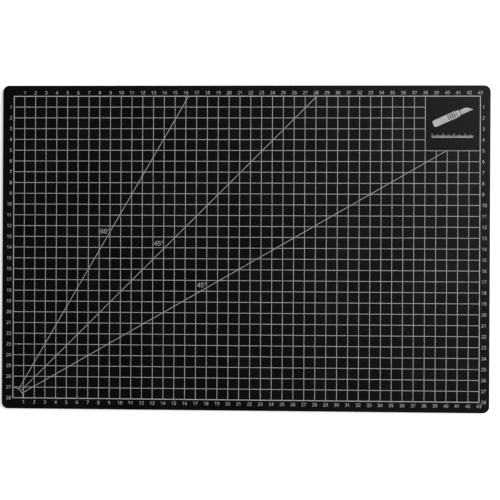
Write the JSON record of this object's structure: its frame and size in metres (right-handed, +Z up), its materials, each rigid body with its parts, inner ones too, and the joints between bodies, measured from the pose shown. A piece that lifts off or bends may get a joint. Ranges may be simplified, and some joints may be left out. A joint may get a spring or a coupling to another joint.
{
  "type": "self-healing cutting mat",
  "caption": "Flat laminated cutting mat with rounded corners, a printed centimetre ruling, numbered edges and angle guides.",
  "frame": {"origin": "centre of the underside, the face that lies on the table", "axes": "+X along the long side to the right of the reader, +Y along the short side to the back edge where the columns are numbered, +Z up out of the printed face"},
  "size_m": [0.45, 0.3, 0.0031],
  "materials": {
    "skin_vinyl": "matte black PVC with a fine pebbled grain",
    "healing_vinyl": "soft satin black PVC, seen only at the cut edge",
    "core_vinyl": "firm charcoal PVC, seen only at the cut edge",
    "print_ink": "pale grey screen-print ink, slightly raised"
  },
  "bodies": {
    "root": {"bottom_skin": "skin_vinyl", "lower_healing_layer": "healing_vinyl", "core_sheet": "core_vinyl", "upper_healing_layer": "healing_vinyl", "top_skin": "skin_vinyl", "vertical_rules": "print_ink", "horizontal_rules": "print_ink", "angle_line_60": "print_ink", "angle_line_45": "print_ink", "angle_line_30": "print_ink", "corner_arc": "print_ink", "panel_knife_mark": "print_ink", "panel_scale_mark": "print_ink"}
  },
  "joints": []
}
